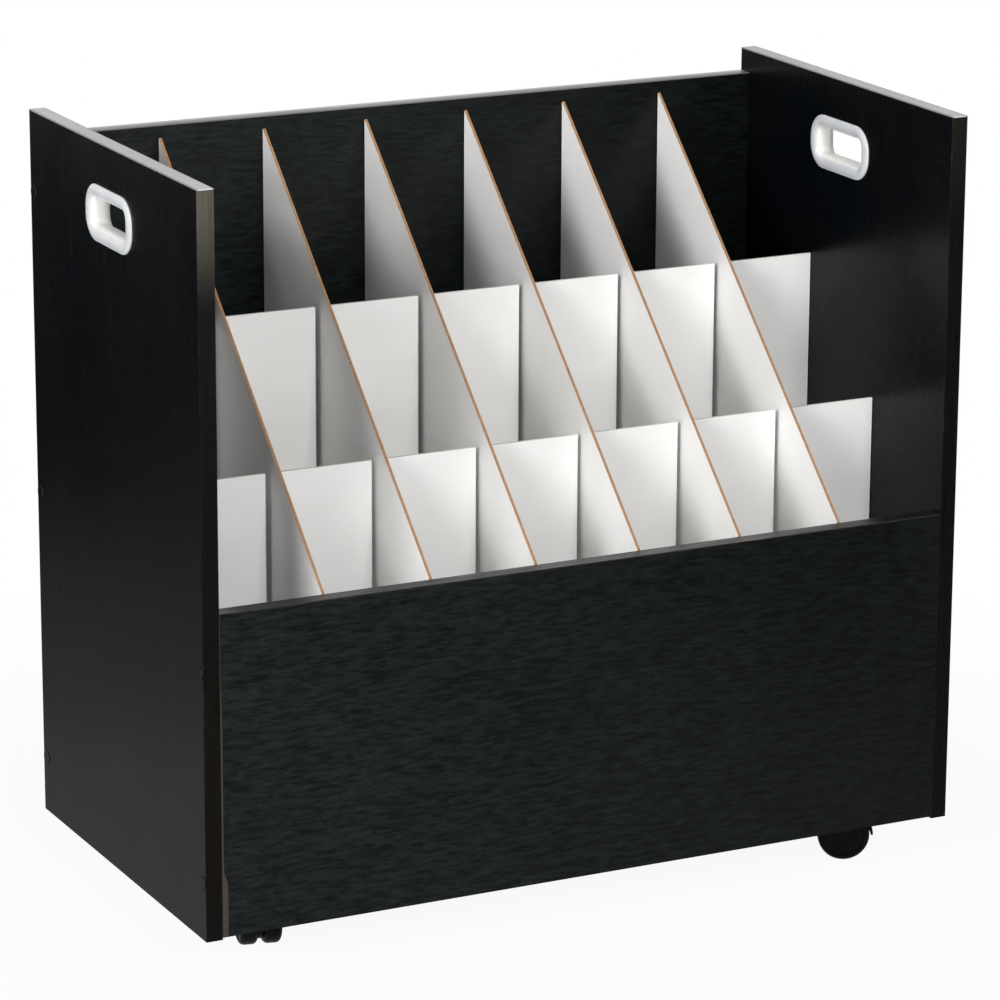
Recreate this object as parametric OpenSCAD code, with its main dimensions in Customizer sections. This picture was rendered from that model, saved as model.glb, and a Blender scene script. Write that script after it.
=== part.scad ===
// Mobile blueprint roll file: an open-topped cabinet of laminated boards on
// four twin-wheel swivel casters. Six sloping dividers and two cross dividers
// slot together into twenty-one compartments for rolled drawings.
// The origin is on the floor, under the middle of the cabinet.
// +X runs to the cabinet's right, +Y to its back, +Z up.

/* [Cabinet] */
// Width across the side panels
cabinet_w = 768; // [560:1:1000]
// Depth of the side panels, edge bands included
cabinet_d = 396; // [330:1:560]
// Height of the side panels
side_h = 682; // [560:1:860]
// Thickness of every laminated board
board_t = 16; // [14:0.5:20]
// How far the back panel's top lies under the side panels' tops
back_drop = 22.5; // [0:0.5:60]
// Height of the front panel's top over the side panels' lower edges
front_h = 303; // [220:1:400]
// How far the front and back panels stop short of the side panels' lower edges
panel_lift = 2; // [0:0.5:6]
// How far the bottom panel's underside lies above the side panels' lower edges
bottom_recess = 8; // [0:1:30]
// Thickness of the edge bands
band_t = 1; // [0.5:0.1:2]
// Bevel along the edge bands' corners
band_bevel = 0.4; // [0.1:0.05:0.5]

/* [Dividers] */
// Thickness of the divider boards
divider_t = 3; // [2:0.1:5]
// Depth of the rear row of compartments
rear_row_d = 126; // [90:1:150]
// Depth of the front row of compartments
front_row_d = 112; // [80:1:130]
// How far the dividers' rear tips lie under the back panel's top
tip_drop = 12; // [2:0.5:40]
// How far the dividers' front ends stand over the front panel's top
foot_rise = 1; // [0:0.5:10]
// How far the cross dividers' tops lie under the dividers' sloping edges
cross_drop = 24.5; // [5:0.5:60]
// Gap between a divider and the front or back panel
divider_end_gap = 1; // [0.5:0.1:3]
// Gap between a cross divider and a side panel
cross_end_gap = 0.5; // [0.2:0.1:3]
// How far to the right of its even place each divider stands
divider_shift = 2.8; // [0:0.1:4]
// Slot width left free on a divider's left side
slot_gap_left = 4.4; // [1:0.1:6]
// Slot width left free on a divider's right side
slot_gap_right = 0.4; // [0.2:0.1:2]
// Clearance all round a cross divider in the dividers' slots
cross_slot_gap = 1; // [0.3:0.1:3]

/* [Hand holes] */
// Width of the opening through a grommet
handle_w = 81; // [70:1:110]
// Height of the opening through a grommet
handle_h = 27.5; // [24:0.5:44]
// Corner radius of the opening
handle_r = 6.5; // [4:0.5:11]
// Width of a grommet's flange, from the opening to its outer edge
flange_w = 13; // [8:0.5:16]
// Height of a grommet's crown over the panel
flange_h = 3; // [2:0.1:5]
// Thickness of a grommet's outer edge
flange_edge = 1.6; // [0.8:0.1:1.9]
// Radius of the lip between flange and opening
lip_r = 4; // [3:0.5:6]
// Wall of a grommet's sleeve
sleeve_wall = 3; // [2:0.1:3.5]
// Gap between a sleeve and the cut-out in its panel
sleeve_gap = 0.3; // [0.1:0.05:0.6]
// Height of the side panels' tops over the middle of the opening
handle_drop = 65; // [50:1:150]
// How far behind the cabinet's middle the opening lies
handle_y = 3; // [-40:1:40]

/* [Joinery] */
// Height of the lowest screws over the side panels' lower edges
screw_low = 54; // [30:1:90]
// Height of the back panel's middle screws over its lowest
screw_mid_rise = 263; // [120:1:400]
// Distance from a panel's top to its upper screws
screw_top_inset = 54; // [25:1:90]
// Radius of a panel screw's shank
screw_r = 2.5; // [2:0.1:3.2]
// Length of a panel screw
screw_len = 50; // [40:1:60]
// Radius of a panel screw's head
screw_head_r = 4.8; // [4:0.1:5.4]
// Height of a panel screw's head
screw_head_h = 3.5; // [2:0.1:5]
// Radius of the cap over a screw
cap_r = 6.3; // [5.8:0.1:7]
// Thickness of the cap over a screw
cap_t = 0.8; // [0.4:0.1:2]
// Radius of the dowels that hold the bottom panel
dowel_r = 4; // [3:0.1:5]
// Length of a dowel
dowel_len = 30; // [24:1:36]
// Depth of the dowel holes in the side panels
dowel_depth = 11; // [8:0.5:12]
// Distance from the front or back panel to the outer dowels
dowel_inset = 60; // [30:1:100]

/* [Casters] */
// Height of a caster, from the floor to the bottom panel
caster_h = 60; // [57:0.5:70]
// Distance from a side panel's inner face to a caster's pivot
caster_inset_x = 74; // [65:1:120]
// Distance from the front or back panel's inner face to a caster's pivot
caster_inset_y = 68; // [58:1:90]
// Distance from the swivel axis to the axle
trail = 22; // [20:0.5:25]
// Diameter of a wheel
wheel_d = 50; // [46:0.5:51]
// Width of one wheel
wheel_w = 17; // [15:0.5:21]
// Gap between the two wheels of a caster
wheel_gap = 5; // [4:0.1:7]
// Rounding of a wheel's tread corners
tread_r = 5; // [2:0.25:5.5]
// Depth of the dish in a wheel's outer face
dish_h = 1.2; // [0.5:0.1:2]
// Radius of the axle
axle_r = 3; // [2.5:0.1:3.5]
// Running clearance of a wheel on its axle and of a hood on its pin
run_gap = 0.06; // [0.02:0.01:0.1]
// Gap between a wheel and the web that it runs beside
wheel_side_gap = 0.4; // [0.2:0.05:0.8]
// Gap between a wheel's tread and the hood over it
hood_gap = 1.2; // [0.8:0.1:2]
// Thickness of the hood's shell
hood_t = 2; // [1.5:0.1:2.5]
// Radius of the swivel pin
pin_r = 4; // [3.2:0.1:4.5]
// Radius of the swivel pin's lower head
pin_head_r = 5.5; // [5:0.1:6]
// Radius of the hood's boss round the swivel pin
boss_r = 9.5; // [8.5:0.1:11]
// Side of the square mounting plate
plate_w = 42; // [40:1:50]
// Thickness of the mounting plate
plate_t = 2.5; // [2:0.1:3]
// Distance between the screws of a mounting plate
plate_pitch = 32; // [31:1:34]
// Radius of a caster screw's shank
plate_screw_r = 2; // [1.5:0.1:2.5]
// Radius of a caster screw's head
plate_screw_head_r = 3.8; // [3:0.1:4]
// Length of a caster screw under its head
plate_screw_len = 15; // [10:0.5:16]

/* [Hidden] */
$fn = 48;
LEFT = -1;
RIGHT = 1;

// Finishes
board_black = [0.09, 0.10, 0.105];
band_grey = [0.78, 0.77, 0.76];
band_brown = [0.25, 0.23, 0.21];
board_white = [0.90, 0.90, 0.89];
plastic_white = [0.93, 0.93, 0.92];
plastic_black = [0.05, 0.05, 0.055];
steel = [0.62, 0.63, 0.65];
cap_black = [0.20, 0.21, 0.21];
beech = [0.80, 0.64, 0.44];

// Main faces of the cabinet
half_w = cabinet_w / 2;
half_d = cabinet_d / 2;
inner_half_w = half_w - board_t;
front_y = -half_d;
back_y = half_d;
front_inner_y = front_y + board_t;
back_inner_y = back_y - board_t;
side_z = caster_h - bottom_recess;
side_top_z = side_z + side_h;
back_top_z = side_top_z - back_drop;
front_top_z = side_z + front_h;
panel_z = side_z + panel_lift;
bottom_top_z = caster_h + board_t;

// Dividers
divider_count = 6;
column_w = (2 * inner_half_w - divider_count * divider_t) / (divider_count + 1);
tip_y = back_inner_y - divider_end_gap;
foot_y = front_inner_y + divider_end_gap;
tip_z = back_top_z - tip_drop;
foot_z = front_top_z + foot_rise;
rear_cross_y = back_inner_y - rear_row_d - divider_t / 2;
front_cross_y = front_inner_y + front_row_d + divider_t / 2;
function slope_z(y) = foot_z + (tip_z - foot_z) * (y - foot_y) / (tip_y - foot_y);
function cross_top(y) = slope_z(y) - cross_drop;
function slot_meet(y) = (bottom_top_z + cross_top(y)) / 2;
function divider_x(i) =
    -inner_half_w + i * column_w + (i - 0.5) * divider_t + divider_shift;

// Hand holes
handle_z = side_top_z - handle_drop;
sleeve_depth = board_t / 2;
arc_steps = 6;
crown_fall = 0.25;
function arc(cx, cy, r, from, to, steps = arc_steps) =
    [for (k = [0:steps]) let (a = from + (to - from) * k / steps) [cx + r * cos(a), cy + r * sin(a)]];

// Joinery
front_screw_z = [side_z + screw_low, front_top_z - screw_top_inset];
back_screw_z = [side_z + screw_low, side_z + screw_low + screw_mid_rise,
    back_top_z - screw_top_inset];
SCREWS = concat(
    [for (z = front_screw_z) [front_y + board_t / 2, z]],
    [for (z = back_screw_z) [back_y - board_t / 2, z]]);
screw_fit = 0.05;
cap_peg_r = 2;
cap_peg_h = 0.6;
cap_peg_gap = 0.2;
head_sink = screw_head_h + cap_peg_h + cap_peg_gap;
dowel_fit = 0.05;
dowel_end_gap = 0.5;
DOWEL_Y = [front_inner_y + dowel_inset, 0, back_inner_y - dowel_inset];
dowel_z = caster_h + board_t / 2;

// Casters: each has its pivot's place and the way that it trails
pivot_x = inner_half_w - caster_inset_x;
pivot_front_y = front_inner_y + caster_inset_y;
pivot_back_y = back_inner_y - caster_inset_y;
FRONT_LEFT = [-pivot_x, pivot_front_y, 76.5];
FRONT_RIGHT = [pivot_x, pivot_front_y, -24];
REAR_LEFT = [-pivot_x, pivot_back_y, 115];
REAR_RIGHT = [pivot_x, pivot_back_y, 20];
CASTERS = [FRONT_LEFT, FRONT_RIGHT, REAR_LEFT, REAR_RIGHT];
wheel_r = wheel_d / 2;
web_t = wheel_gap - 2 * wheel_side_gap;
web_r = wheel_r - tread_r;
hood_in_r = wheel_r + hood_gap;
hood_out_r = hood_in_r + hood_t;
hood_w = 2 * wheel_w + wheel_gap - tread_r;
plate_z = caster_h - plate_t;
boss_gap = 0.3;
boss_top = plate_z - boss_gap;
pin_head_h = 2;
pin_seat_gap = 0.2;
boss_grip = 10;
boss_lip = 1.5;
shoulder_z = boss_top - boss_grip;
pin_head_z = shoulder_z - pin_seat_gap - pin_head_h;
boss_z = pin_head_z - boss_lip;
pin_rivet_r = 6;
pin_rivet_h = 1.5;
rivet_room = 0.5;
fixed_fit = 0.02;
plate_r = 5;
plate_screw_head_h = 2;
hub_r = 8;
hub_rise = 0.4;
axle_end_wall = 4.5;
axle_reach = wheel_w - axle_end_wall;
axle_bevel = 0.5;
bore_end_gap = 0.5;
snap_inset = 8;
snap_place = wheel_w - snap_inset;
snap_w = 1;
snap_depth = 0.5;
snap_gap = 0.3;
past = 1;

// A flat strip with its two outer corners bevelled, along +Z, outwards along +Y
module band_strip(length, width) {
    linear_extrude(length)
        polygon([
            [-width / 2, 0], [width / 2, 0],
            [width / 2, band_t - band_bevel], [width / 2 - band_bevel, band_t],
            [-width / 2 + band_bevel, band_t], [-width / 2, band_t - band_bevel]
        ]);
}

// A flat rounded rectangle, centred
module rounded_rect(w, h, r) {
    square([w - 2 * r, h], center = true);
    square([w, h - 2 * r], center = true);
    for (x = [-1, 1], y = [-1, 1])
        translate([x * (w / 2 - r), y * (h / 2 - r)])
            circle(r);
}

// A countersunk-cap panel screw, its head's outside at z = 0, pointing down
module panel_screw() {
    translate([0, 0, -screw_head_h])
        cylinder(r = screw_head_r, h = screw_head_h);
    translate([0, 0, -screw_len])
        cylinder(r = screw_r, h = screw_len - screw_head_h + screw_fit);
}

// The hole for a panel screw from a side panel's outer face
module panel_screw_hole() {
    translate([0, 0, -head_sink])
        cylinder(r = screw_head_r + screw_fit, h = head_sink + past);
    translate([0, 0, -screw_len - past])
        cylinder(r = screw_r + screw_fit, h = screw_len + 2 * past);
}

// Places its child at each screw of one side, with +Z out of the cabinet
module at_side_screws(side) {
    for (s = SCREWS)
        translate([side * half_w, s[0], s[1]])
            rotate([0, side * 90, 0])
                children();
}

// Places its child at each dowel of one side, with +Z out of the cabinet
module at_side_dowels(side) {
    for (y = DOWEL_Y)
        translate([side * inner_half_w, y, dowel_z])
            rotate([0, side * 90, 0])
                children();
}

// The hole of one dowel, in the side panel and in the bottom panel alike
module dowel_hole() {
    translate([0, 0, dowel_depth - dowel_len - dowel_end_gap])
        cylinder(r = dowel_r + dowel_fit, h = dowel_len + 2 * dowel_end_gap);
}

module side_panel(side) {
    core_d = cabinet_d - 2 * band_t;
    color(board_black)
        difference() {
            translate([side > 0 ? inner_half_w : -half_w, -core_d / 2, side_z])
                cube([board_t, core_d, side_h - band_t]);
            translate([side * (half_w - board_t / 2), handle_y, handle_z])
                rotate([90, 0, 90])
                    linear_extrude(board_t + 2 * past, center = true)
                        rounded_rect(
                            handle_w + 2 * (sleeve_wall + sleeve_gap),
                            handle_h + 2 * (sleeve_wall + sleeve_gap),
                            handle_r + sleeve_wall + sleeve_gap);
            at_side_screws(side)
                panel_screw_hole();
            at_side_dowels(side)
                dowel_hole();
        }
}

module side_top_band(side) {
    color(band_grey)
        translate([side * (half_w - board_t / 2), back_y, side_top_z - band_t])
            rotate([90, 0, 0])
                band_strip(cabinet_d, board_t);
}

module side_front_band(side) {
    color(band_brown)
        translate([side * (half_w - board_t / 2), front_y + band_t, side_z])
            rotate([0, 0, 180])
                band_strip(side_h - band_t, board_t);
}

module side_rear_band(side) {
    color(band_brown)
        translate([side * (half_w - board_t / 2), back_y - band_t, side_z])
            band_strip(side_h - band_t, board_t);
}

// A board that stands between the side panels, its top edge banded
module cross_panel(y, top_z) {
    color(board_black)
        difference() {
            translate([-inner_half_w, y, panel_z])
                cube([2 * inner_half_w, board_t, top_z - band_t - panel_z]);
            for (side = [LEFT, RIGHT])
                at_side_screws(side)
                    panel_screw_hole();
        }
}

module cross_panel_band(y, top_z, tone) {
    color(tone)
        translate([-inner_half_w, y + board_t / 2, top_z - band_t])
            rotate([90, 0, 90])
                band_strip(2 * inner_half_w, board_t);
}

module back_panel() {
    cross_panel(back_inner_y, back_top_z);
}

module front_panel() {
    cross_panel(front_y, front_top_z);
}

// Places its child at each caster screw, with +Z up
module at_caster_screws() {
    for (c = CASTERS, x = [-1, 1], y = [-1, 1])
        translate([c[0] + x * plate_pitch / 2, c[1] + y * plate_pitch / 2, 0])
            children();
}

module bottom_panel() {
    color(board_black)
        difference() {
            translate([-inner_half_w, front_inner_y, caster_h])
                cube([2 * inner_half_w, back_inner_y - front_inner_y, board_t]);
            for (side = [LEFT, RIGHT])
                at_side_dowels(side)
                    dowel_hole();
            at_caster_screws()
                translate([0, 0, plate_z])
                    cylinder(r = plate_screw_r + screw_fit, h = plate_screw_len + screw_fit);
            for (c = CASTERS)
                translate([c[0], c[1], caster_h - past])
                    cylinder(r = pin_rivet_r + rivet_room, h = pin_rivet_h + rivet_room + past);
        }
}

// One sloping divider, slotted from below where the cross dividers pass
module divider(i) {
    color(board_white)
        translate([divider_x(i) - divider_t / 2, 0, 0])
            rotate([90, 0, 90])
                linear_extrude(divider_t)
                    difference() {
                        polygon([
                            [foot_y, bottom_top_z], [tip_y, bottom_top_z],
                            [tip_y, tip_z], [foot_y, foot_z]
                        ]);
                        for (y = [rear_cross_y, front_cross_y])
                            translate([y - divider_t / 2 - cross_slot_gap, bottom_top_z - past])
                                square([
                                    divider_t + 2 * cross_slot_gap,
                                    slot_meet(y) + cross_slot_gap - bottom_top_z + past
                                ]);
                    }
}

// One cross divider, slotted from above where the sloping dividers pass
module cross_divider(y) {
    width = 2 * (inner_half_w - cross_end_gap);
    color(board_white)
        translate([0, y + divider_t / 2, 0])
            rotate([90, 0, 0])
                linear_extrude(divider_t)
                    difference() {
                        translate([-width / 2, bottom_top_z])
                            square([width, cross_top(y) - bottom_top_z]);
                        for (i = [1:divider_count])
                            translate([divider_x(i) - divider_t / 2 - slot_gap_left, slot_meet(y)])
                                square([
                                    divider_t + slot_gap_left + slot_gap_right,
                                    cross_top(y) - slot_meet(y) + past
                                ]);
                    }
}

// Section of a grommet half: x from the corner's centre, y out of the panel
module grommet_section() {
    outer = handle_r + flange_w;
    edge_r = flange_edge / 2;
    polygon(concat(
        [[handle_r, -sleeve_depth]],
        arc(handle_r + lip_r, flange_h - lip_r, lip_r, 180, 90),
        [[(handle_r + lip_r + outer) / 2, flange_h - crown_fall]],
        arc(outer - edge_r, flange_edge - edge_r, edge_r, 90, 0, 3),
        [[outer, 0], [handle_r + sleeve_wall, 0], [handle_r + sleeve_wall, -sleeve_depth]]
    ));
}

// A grommet half: its section led round a rounded rectangle
module grommet_half() {
    run_w = handle_w - 2 * handle_r;
    run_h = handle_h - 2 * handle_r;
    color(plastic_white) {
        for (turn = [0, 180])
            rotate([0, 0, turn]) {
                translate([run_w / 2, run_h / 2, 0])
                    rotate_extrude(angle = 90)
                        grommet_section();
                translate([-run_w / 2, run_h / 2, 0])
                    rotate([0, 0, 90])
                        rotate_extrude(angle = 90)
                            grommet_section();
                translate([run_w / 2, run_h / 2, 0])
                    rotate([90, 0, 0])
                        linear_extrude(run_h)
                            grommet_section();
                translate([-run_w / 2, run_h / 2, 0])
                    rotate([90, 0, 90])
                        linear_extrude(run_w)
                            grommet_section();
            }
    }
}

// A grommet half on a side panel's outer face, or on its inner face
module grommet(side, outside) {
    translate([side * (outside ? half_w : inner_half_w), handle_y, handle_z])
        rotate([90, 0, (outside ? side : -side) * 90])
            grommet_half();
}

module panel_screws() {
    color(steel)
        for (side = [LEFT, RIGHT])
            at_side_screws(side)
                translate([0, 0, -cap_peg_h - screw_fit])
                    panel_screw();
}

module screw_caps() {
    color(cap_black)
        for (side = [LEFT, RIGHT])
            at_side_screws(side) {
                cylinder(r = cap_r, h = cap_t);
                translate([0, 0, -cap_peg_h])
                    cylinder(r = cap_peg_r, h = cap_peg_h + cap_t / 2);
            }
}

module bottom_dowels() {
    color(beech)
        for (side = [LEFT, RIGHT])
            at_side_dowels(side)
                translate([0, 0, dowel_depth - dowel_len])
                    cylinder(r = dowel_r, h = dowel_len);
}

module caster_screws() {
    color(steel)
        at_caster_screws() {
            translate([0, 0, plate_z - plate_screw_head_h])
                cylinder(r = plate_screw_head_r, h = plate_screw_head_h);
            translate([0, 0, plate_z - plate_screw_head_h / 2])
                cylinder(r = plate_screw_r, h = plate_screw_len + plate_screw_head_h / 2);
        }
}

module caster_plate(c) {
    color(steel)
        translate([c[0], c[1], plate_z])
            linear_extrude(plate_t)
                difference() {
                    rounded_rect(plate_w, plate_w, plate_r);
                    circle(pin_r + fixed_fit);
                    for (x = [-1, 1], y = [-1, 1])
                        translate([x * plate_pitch / 2, y * plate_pitch / 2])
                            circle(plate_screw_r + screw_fit);
                }
}

module caster_pin(c) {
    color(steel)
        translate([c[0], c[1], 0]) {
            translate([0, 0, pin_head_z])
                cylinder(r = pin_head_r, h = pin_head_h);
            translate([0, 0, pin_head_z + pin_head_h / 2])
                cylinder(r = pin_r, h = caster_h - pin_head_z);
            translate([0, 0, caster_h])
                cylinder(r = pin_rivet_r, h = pin_rivet_h);
        }
}

// Turns and moves its child to a caster: x along its trail, y along its axle
module at_caster(c) {
    translate([c[0], c[1], 0])
        rotate([0, 0, c[2]])
            children();
}

// A round bar along the axle's line, centred between the wheels
module along_axle(r, length) {
    translate([trail, 0, wheel_r])
        rotate([90, 0, 0])
            cylinder(r = r, h = length, center = true);
}

module caster_hood(c) {
    color(plastic_black)
        at_caster(c)
            difference() {
                union() {
                    difference() {
                        union() {
                            along_axle(hood_out_r, hood_w);
                            translate([0, 0, boss_z])
                                cylinder(r = boss_r, h = boss_top - boss_z);
                        }
                        along_axle(hood_in_r, hood_w + 2 * past);
                        translate([trail - hood_out_r - past, -hood_w, wheel_r - hood_out_r - past])
                            cube([2 * (hood_out_r + past), 2 * hood_w, hood_out_r + past]);
                    }
                    along_axle(web_r, web_t);
                    intersection() {
                        along_axle(hood_in_r + hood_t / 2, web_t);
                        translate([trail - hood_out_r, -web_t / 2, wheel_r])
                            cube([2 * hood_out_r, web_t, hood_out_r]);
                    }
                }
                translate([0, 0, boss_z - past])
                    cylinder(r = pin_head_r + pin_seat_gap, h = shoulder_z - boss_z + past);
                cylinder(r = pin_r + run_gap, h = caster_h);
                along_axle(axle_r + fixed_fit, wheel_gap);
            }
}

module caster_axle(c) {
    half = wheel_gap / 2 + axle_reach;
    groove = wheel_gap / 2 + snap_place;
    color(steel)
        at_caster(c)
            translate([trail, 0, wheel_r])
                rotate([90, 0, 0])
                    rotate_extrude()
                        polygon([
                            [0, -half], [axle_r - axle_bevel, -half], [axle_r, -half + axle_bevel],
                            [axle_r, -groove - snap_w], [axle_r - snap_depth, -groove - snap_w],
                            [axle_r - snap_depth, -groove], [axle_r, -groove],
                            [axle_r, groove], [axle_r - snap_depth, groove],
                            [axle_r - snap_depth, groove + snap_w], [axle_r, groove + snap_w],
                            [axle_r, half - axle_bevel], [axle_r - axle_bevel, half], [0, half]
                        ]);
}

// Section of a wheel: x from its axis, y from its inner face outwards
module wheel_section() {
    bore_r = axle_r + run_gap;
    bead_r = bore_r - snap_depth;
    bore_h = axle_reach + bore_end_gap;
    bead_h = snap_place + snap_gap;
    rim_r = wheel_r - tread_r;
    polygon(concat(
        [[bore_r, 0]],
        arc(rim_r, tread_r, tread_r, -90, 0),
        arc(rim_r, wheel_w - tread_r, tread_r, 0, 90),
        [
            [rim_r - dish_h, wheel_w - dish_h], [hub_r + dish_h, wheel_w - dish_h],
            [hub_r, wheel_w - hub_rise], [hub_r / 2, wheel_w], [0, wheel_w],
            [0, bore_h], [bore_r, bore_h],
            [bore_r, bead_h + snap_w - 2 * snap_gap], [bead_r, bead_h + snap_w - 2 * snap_gap],
            [bead_r, bead_h], [bore_r, bead_h]
        ]
    ));
}

// One wheel of a caster: hand is 1 or -1, for the side of the web that it is on
module caster_wheel(c, hand) {
    color(plastic_black)
        at_caster(c)
            translate([trail, hand * wheel_gap / 2, wheel_r])
                rotate([-hand * 90, 0, 0])
                    rotate_extrude($fn = 96)
                        wheel_section();
}

side_panel(LEFT);  // left_side_panel
side_panel(RIGHT);  // right_side_panel
back_panel();
front_panel();
bottom_panel();
side_top_band(LEFT);  // left_top_band
side_top_band(RIGHT);  // right_top_band
side_front_band(LEFT);  // left_front_band
side_front_band(RIGHT);  // right_front_band
side_rear_band(LEFT);  // left_rear_band
side_rear_band(RIGHT);  // right_rear_band
cross_panel_band(front_y, front_top_z, band_brown);  // front_panel_band
cross_panel_band(back_inner_y, back_top_z, band_grey);  // back_panel_band
divider(1);  // divider_1
divider(2);  // divider_2
divider(3);  // divider_3
divider(4);  // divider_4
divider(5);  // divider_5
divider(6);  // divider_6
cross_divider(rear_cross_y);  // cross_divider_rear
cross_divider(front_cross_y);  // cross_divider_front
grommet(LEFT, true);  // left_grommet_outer
grommet(LEFT, false);  // left_grommet_inner
grommet(RIGHT, true);  // right_grommet_outer
grommet(RIGHT, false);  // right_grommet_inner
panel_screws();
screw_caps();
bottom_dowels();
caster_screws();
caster_plate(FRONT_LEFT);  // front_left_plate
caster_pin(FRONT_LEFT);  // front_left_pin
caster_hood(FRONT_LEFT);  // front_left_hood
caster_axle(FRONT_LEFT);  // front_left_axle
caster_wheel(FRONT_LEFT, 1);  // front_left_wheel_1
caster_wheel(FRONT_LEFT, -1);  // front_left_wheel_2
caster_plate(FRONT_RIGHT);  // front_right_plate
caster_pin(FRONT_RIGHT);  // front_right_pin
caster_hood(FRONT_RIGHT);  // front_right_hood
caster_axle(FRONT_RIGHT);  // front_right_axle
caster_wheel(FRONT_RIGHT, 1);  // front_right_wheel_1
caster_wheel(FRONT_RIGHT, -1);  // front_right_wheel_2
caster_plate(REAR_LEFT);  // rear_left_plate
caster_pin(REAR_LEFT);  // rear_left_pin
caster_hood(REAR_LEFT);  // rear_left_hood
caster_axle(REAR_LEFT);  // rear_left_axle
caster_wheel(REAR_LEFT, 1);  // rear_left_wheel_1
caster_wheel(REAR_LEFT, -1);  // rear_left_wheel_2
caster_plate(REAR_RIGHT);  // rear_right_plate
caster_pin(REAR_RIGHT);  // rear_right_pin
caster_hood(REAR_RIGHT);  // rear_right_hood
caster_axle(REAR_RIGHT);  // rear_right_axle
caster_wheel(REAR_RIGHT, 1);  // rear_right_wheel_1
caster_wheel(REAR_RIGHT, -1);  // rear_right_wheel_2
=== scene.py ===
# Mobile blueprint roll file: a black laminated cabinet, open at the top, on four
# twin-wheel casters, with white hardboard dividers slotted together inside it.
import math

import bmesh
import bpy
from mathutils import Matrix, Vector


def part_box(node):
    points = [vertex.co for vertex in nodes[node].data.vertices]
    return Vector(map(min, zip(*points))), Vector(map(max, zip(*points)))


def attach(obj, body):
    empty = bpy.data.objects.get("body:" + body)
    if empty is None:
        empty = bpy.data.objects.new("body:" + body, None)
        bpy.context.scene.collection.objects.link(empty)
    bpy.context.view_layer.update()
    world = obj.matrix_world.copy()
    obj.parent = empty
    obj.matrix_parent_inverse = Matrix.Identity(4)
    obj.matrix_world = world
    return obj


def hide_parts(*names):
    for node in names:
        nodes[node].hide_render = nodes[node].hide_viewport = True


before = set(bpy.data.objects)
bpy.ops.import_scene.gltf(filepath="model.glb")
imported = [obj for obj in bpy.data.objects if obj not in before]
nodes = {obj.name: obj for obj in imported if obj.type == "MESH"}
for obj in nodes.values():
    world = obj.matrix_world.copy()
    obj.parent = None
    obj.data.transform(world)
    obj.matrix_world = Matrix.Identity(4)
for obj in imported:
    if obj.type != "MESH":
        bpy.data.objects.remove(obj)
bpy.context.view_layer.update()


# Side panels
# Each is 16 mm chipboard with a smooth black melamine skin pressed on both faces.
# The sawn lower edges are left raw, since nobody sees them with the cabinet standing.

def add(tree, kind, inputs=None, **settings):
    """Adds a node. Each input is a value, or another node's output to link."""
    node = tree.nodes.new(kind)
    for name, value in settings.items():
        setattr(node, name, value)
    for name, value in (inputs or {}).items():
        if isinstance(value, bpy.types.NodeSocket):
            tree.links.new(value, node.inputs[name])
        else:
            node.inputs[name].default_value = value
    return node


def maths(tree, operation, *values, clamp=False):
    """The result of a Math node on one, two or three values or outputs."""
    node = add(tree, "ShaderNodeMath", dict(enumerate(values)), operation=operation, use_clamp=clamp)
    return node.outputs[0]


def between(tree, value, low, high, from_value=0.0, to_value=1.0):
    """Eases from one value to another while the input goes from low to high."""
    node = add(tree, "ShaderNodeMapRange", {
        "Value": value, "From Min": low, "From Max": high, "To Min": from_value, "To Max": to_value,
    }, interpolation_type="SMOOTHSTEP")
    return node.outputs["Result"]


def mix(tree, factor, a, b):
    """A colour mixed from a and b."""
    node = add(tree, "ShaderNodeMix", {0: factor, 6: a, 7: b}, data_type="RGBA")
    return node.outputs[2]


def product(tree, *masks):
    """Masks or shares multiplied together."""
    result = masks[0]
    for mask in masks[1:]:
        result = maths(tree, "MULTIPLY", result, mask)
    return result


def inverse(tree, mask):
    """0 where a mask is 1, and 1 where it is 0."""
    return maths(tree, "SUBTRACT", 1.0, mask)


def noise(tree, vector, scale, detail=3.0, roughness=0.5, distortion=0.0):
    """The value of a noise texture."""
    node = add(tree, "ShaderNodeTexNoise", {
        "Vector": vector, "Scale": scale, "Detail": detail, "Roughness": roughness, "Distortion": distortion,
    })
    return node.outputs["Fac"]


def scaled(tree, vector, factors):
    """A vector multiplied by another, part by part."""
    return add(tree, "ShaderNodeVectorMath", {0: vector, 1: factors}, operation="MULTIPLY").outputs[0]


def along(tree, vector, axis):
    """How far a vector reaches along an axis."""
    return add(tree, "ShaderNodeVectorMath", {0: vector, 1: axis}, operation="DOT_PRODUCT").outputs["Value"]


def facing(tree, normal, axis):
    """1 on faces that look along an axis either way, 0 on the others."""
    return between(tree, maths(tree, "ABSOLUTE", along(tree, normal, axis)), 0.80, 0.90)


def new_group(name, inputs, outputs):
    """A shader node group with these sockets. Returns it with its tree's two end nodes."""
    group = bpy.data.node_groups.new(name, "ShaderNodeTree")
    for socket, kind, value in inputs:
        made = group.interface.new_socket(socket, in_out="INPUT", socket_type=kind)
        made.default_value = value
    for socket in outputs:
        group.interface.new_socket(socket, in_out="OUTPUT", socket_type="NodeSocketFloat")
    return group, group.nodes.new("NodeGroupInput"), group.nodes.new("NodeGroupOutput")


def place(tree, group, **inputs):
    """Puts a node group in a tree. Underscores in the names stand for spaces."""
    node = tree.nodes.new("ShaderNodeGroup")
    node.node_tree = group
    for name, value in inputs.items():
        socket = node.inputs[name.replace("_", " ")]
        if isinstance(value, bpy.types.NodeSocket):
            tree.links.new(value, socket)
        else:
            socket.default_value = value
    return node.outputs


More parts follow.
